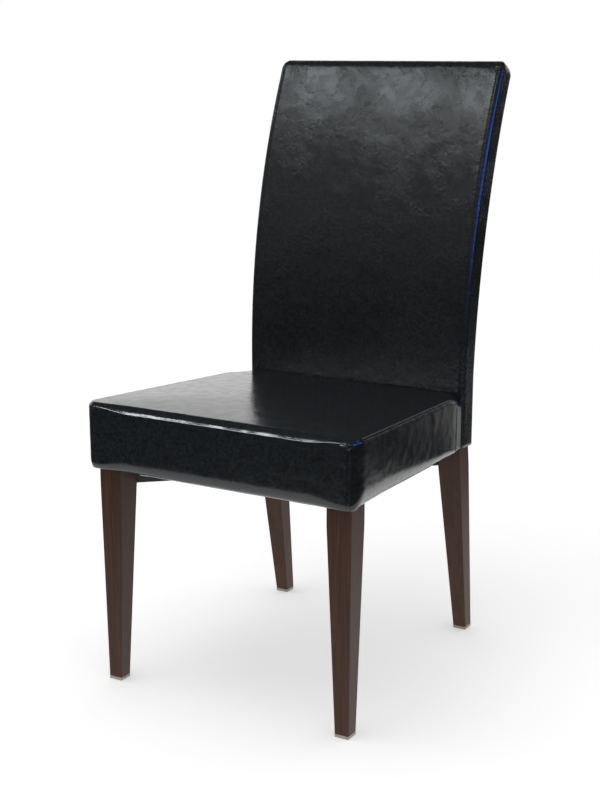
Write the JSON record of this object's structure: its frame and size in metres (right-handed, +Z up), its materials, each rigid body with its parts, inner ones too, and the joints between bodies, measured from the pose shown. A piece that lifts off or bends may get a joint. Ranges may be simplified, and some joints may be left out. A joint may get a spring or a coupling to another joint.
{
  "type": "upholstered dining chair",
  "caption": "High-back restaurant chair with a curved leather-covered back, a padded box seat, tapered timber legs with splayed rear legs, and a steel cross brace under the seat.",
  "frame": {"origin": "on the floor, under the middle of the chair's bounding box", "axes": "+Z up, -Y towards the front of the seat, +X to the right as seen from the front"},
  "size_m": [0.494, 0.6026, 0.9999],
  "materials": {
    "stained_timber": "dark brown stain under satin lacquer, fine straight grain along the leg",
    "frame_timber": "bare sawn beech",
    "plywood": "bare plywood and fibreboard",
    "foam": "matt polyurethane foam",
    "leather": "glossy black bonded leather with a fine crackled grain",
    "fibre_strip": "pale pressed fibre",
    "dust_cloth": "black non-woven cloth",
    "brace_steel": "black satin paint",
    "glide_plastic": "pale matt nylon",
    "zinc_steel": "zinc-plated"
  },
  "bodies": {
    "root": {"front_leg_left": "stained_timber", "front_leg_right": "stained_timber", "rear_post_left": "stained_timber", "rear_post_right": "stained_timber", "front_rail": "frame_timber", "rear_rail": "frame_timber", "side_rail_left": "frame_timber", "side_rail_right": "frame_timber", "corner_block_front_left": "frame_timber", "corner_block_front_right": "frame_timber", "corner_block_rear_left": "frame_timber", "corner_block_rear_right": "frame_timber", "seat_board": "plywood", "seat_foam": "foam", "seat_side_padding": "foam", "seat_cover": "leather", "hem_strip": "fibre_strip", "dust_cover": "dust_cloth", "brace_strap_left": "brace_steel", "brace_strap_right": "brace_steel", "back_top_rail": "frame_timber", "back_mid_rail": "frame_timber", "back_low_rail": "frame_timber", "back_panel": "plywood", "back_foam": "foam", "back_rear_panel": "plywood", "back_cover": "leather", "glide_front_left": "glide_plastic", "glide_front_right": "glide_plastic", "glide_rear_left": "glide_plastic", "glide_rear_right": "glide_plastic", "seat_dowels": "frame_timber", "back_dowels": "frame_timber", "block_screws": "zinc_steel", "seat_board_screws": "zinc_steel", "brace_screws": "zinc_steel", "back_panel_screws": "zinc_steel"}
  },
  "joints": []
}
